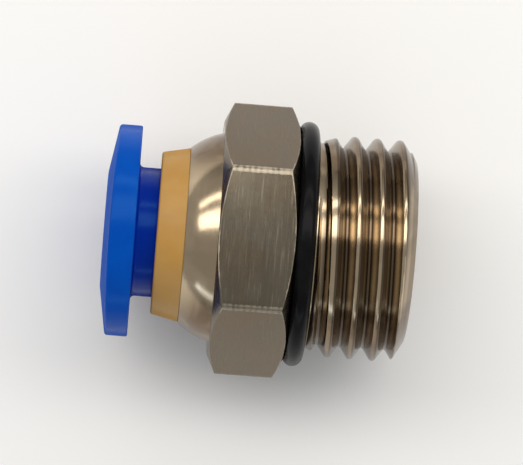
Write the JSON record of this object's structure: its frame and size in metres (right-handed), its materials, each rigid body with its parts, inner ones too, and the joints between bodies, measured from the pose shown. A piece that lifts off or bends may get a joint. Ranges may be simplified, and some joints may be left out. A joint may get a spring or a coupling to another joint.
{
  "type": "push to connect fitting",
  "caption": "Straight male push-in fitting: nickel-plated hexagon body with a parallel thread and O-ring, guide ring and oval release sleeve for a round tube.",
  "frame": {"origin": "centre of the seal face, the face of the hexagon that stops against the port", "axes": "+X along the fitting's axis, towards the thread's end; -X towards the tube; +Z is square to one flat of the hexagon, with the part lying on its side; the oval flange's long diameter is along Y"},
  "size_m": [0.0181, 0.016, 0.0144],
  "materials": {
    "nickel_plated_brass": "turned brass with bright nickel plating, worn at the hexagon's edges",
    "black_rubber": "black nitrile rubber with a dull sheen",
    "cream_acetal": "moulded cream to amber acetal, satin",
    "blue_acetal": "moulded blue acetal, semi-gloss",
    "spring_stainless": "stamped spring stainless steel",
    "white_acetal": "moulded natural acetal",
    "seal_rubber": "black nitrile rubber, greased"
  },
  "bodies": {
    "fitting": {"body": "nickel_plated_brass", "thread_o_ring": "black_rubber", "guide_ring": "cream_acetal", "lock_claws": "spring_stainless", "backing_ring": "white_acetal", "tube_seal": "seal_rubber"},
    "sleeve": {"release_sleeve": "blue_acetal"}
  },
  "joints": [
    {"name": "release_slide", "type": "slide", "parent": "fitting", "child": "sleeve", "axis": [1, 0, 0], "range_m": [0, 0.0012], "stiffness_N_per_m": 2000, "deforming": ["lock_claws"]}
  ]
}
